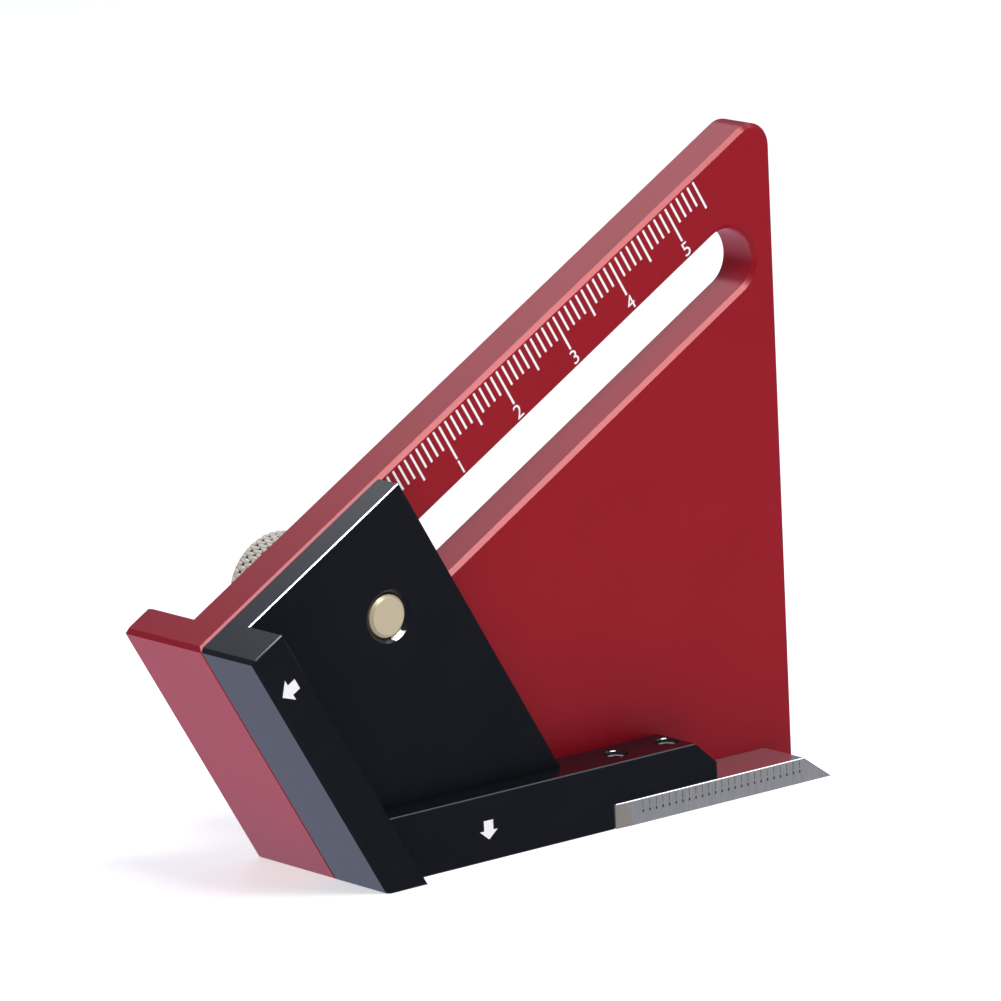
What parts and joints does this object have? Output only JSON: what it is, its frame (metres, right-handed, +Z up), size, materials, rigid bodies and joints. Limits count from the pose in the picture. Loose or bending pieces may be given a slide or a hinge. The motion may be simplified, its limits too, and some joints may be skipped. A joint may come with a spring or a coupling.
{
  "type": "marking gauge",
  "caption": "Half-thickness marking gauge: a wedge body with a fence, and a slider on a 30 degree slot that opens a jaw and lifts a marking blade by half as much.",
  "frame": {"origin": "centre of the bounding box on the plane of the base edge", "axes": "+X along the base edge towards the blade's point, +Y from the body's front face towards the clamp knob, +Z up"},
  "size_m": [0.0864, 0.0276, 0.0778],
  "materials": {
    "body_red": "red anodised, fine satin",
    "slider_black": "black anodised, fine satin",
    "blade_steel": "ground flat, polished on top",
    "screw_steel": "turned, bright",
    "stud_brass": "turned end face",
    "washer_steel": "bright",
    "knob_brass": "diamond knurled"
  },
  "bodies": {
    "body": {"body_plate": "body_red"},
    "slider": {"slider_block": "slider_black", "blade": "blade_steel", "blade_screw_1": "screw_steel", "blade_screw_2": "screw_steel", "clamp_stud": "stud_brass"},
    "washer": {"clamp_washer": "washer_steel"},
    "knob": {"clamp_knob": "knob_brass"}
  },
  "joints": [
    {"name": "slider_slide", "type": "slide", "parent": "body", "child": "slider", "axis": [0.866, 0, 0.5], "range_m": [0, 0.058]},
    {"name": "washer_back_off", "type": "slide", "parent": "slider", "child": "washer", "axis": [0, 1, 0], "range_m": [0, 0.00081]},
    {"name": "knob_turn", "type": "hinge", "parent": "washer", "child": "knob", "pos_m": [-0.01919, 0.008, 0.03015], "axis": [0, 1, 0], "range_deg": [0, 360]}
  ],
  "couplings": [
    {"joint": "washer_back_off", "follows": "knob_turn", "m_per_rad": 0.00012732}
  ]
}
